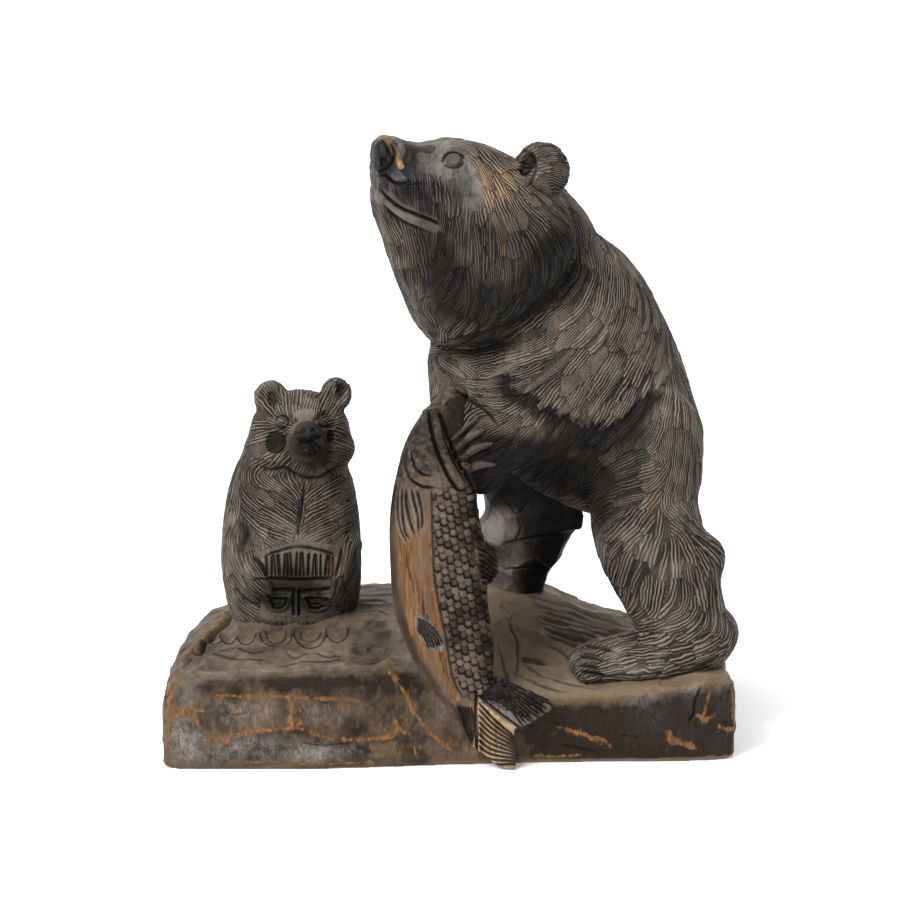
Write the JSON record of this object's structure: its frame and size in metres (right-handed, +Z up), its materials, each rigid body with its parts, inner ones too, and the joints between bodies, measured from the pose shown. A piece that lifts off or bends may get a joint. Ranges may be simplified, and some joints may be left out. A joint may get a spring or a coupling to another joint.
{
  "type": "carved wooden bear group",
  "caption": "Carved wooden ornament: a standing bear with raised head and a fish under its forepaw, a seated cub beside it, cut with a rough plinth from the same block.",
  "frame": {"origin": "middle of the bounding box on the underside that the carving stands on", "axes": "+Z up; +X along the plinth from the cub to the bear's rump; -Y towards the front, where the salmon and the cub's face are"},
  "size_m": [0.3392, 0.1882, 0.3602],
  "materials": {
    "stained_wood": "dark stained carved hardwood, semi-matte, rubbed pale on the ridges and worn to bare orange-brown wood on the edges"
  },
  "bodies": {
    "root": {"carved_bear_group": "stained_wood"}
  },
  "joints": []
}
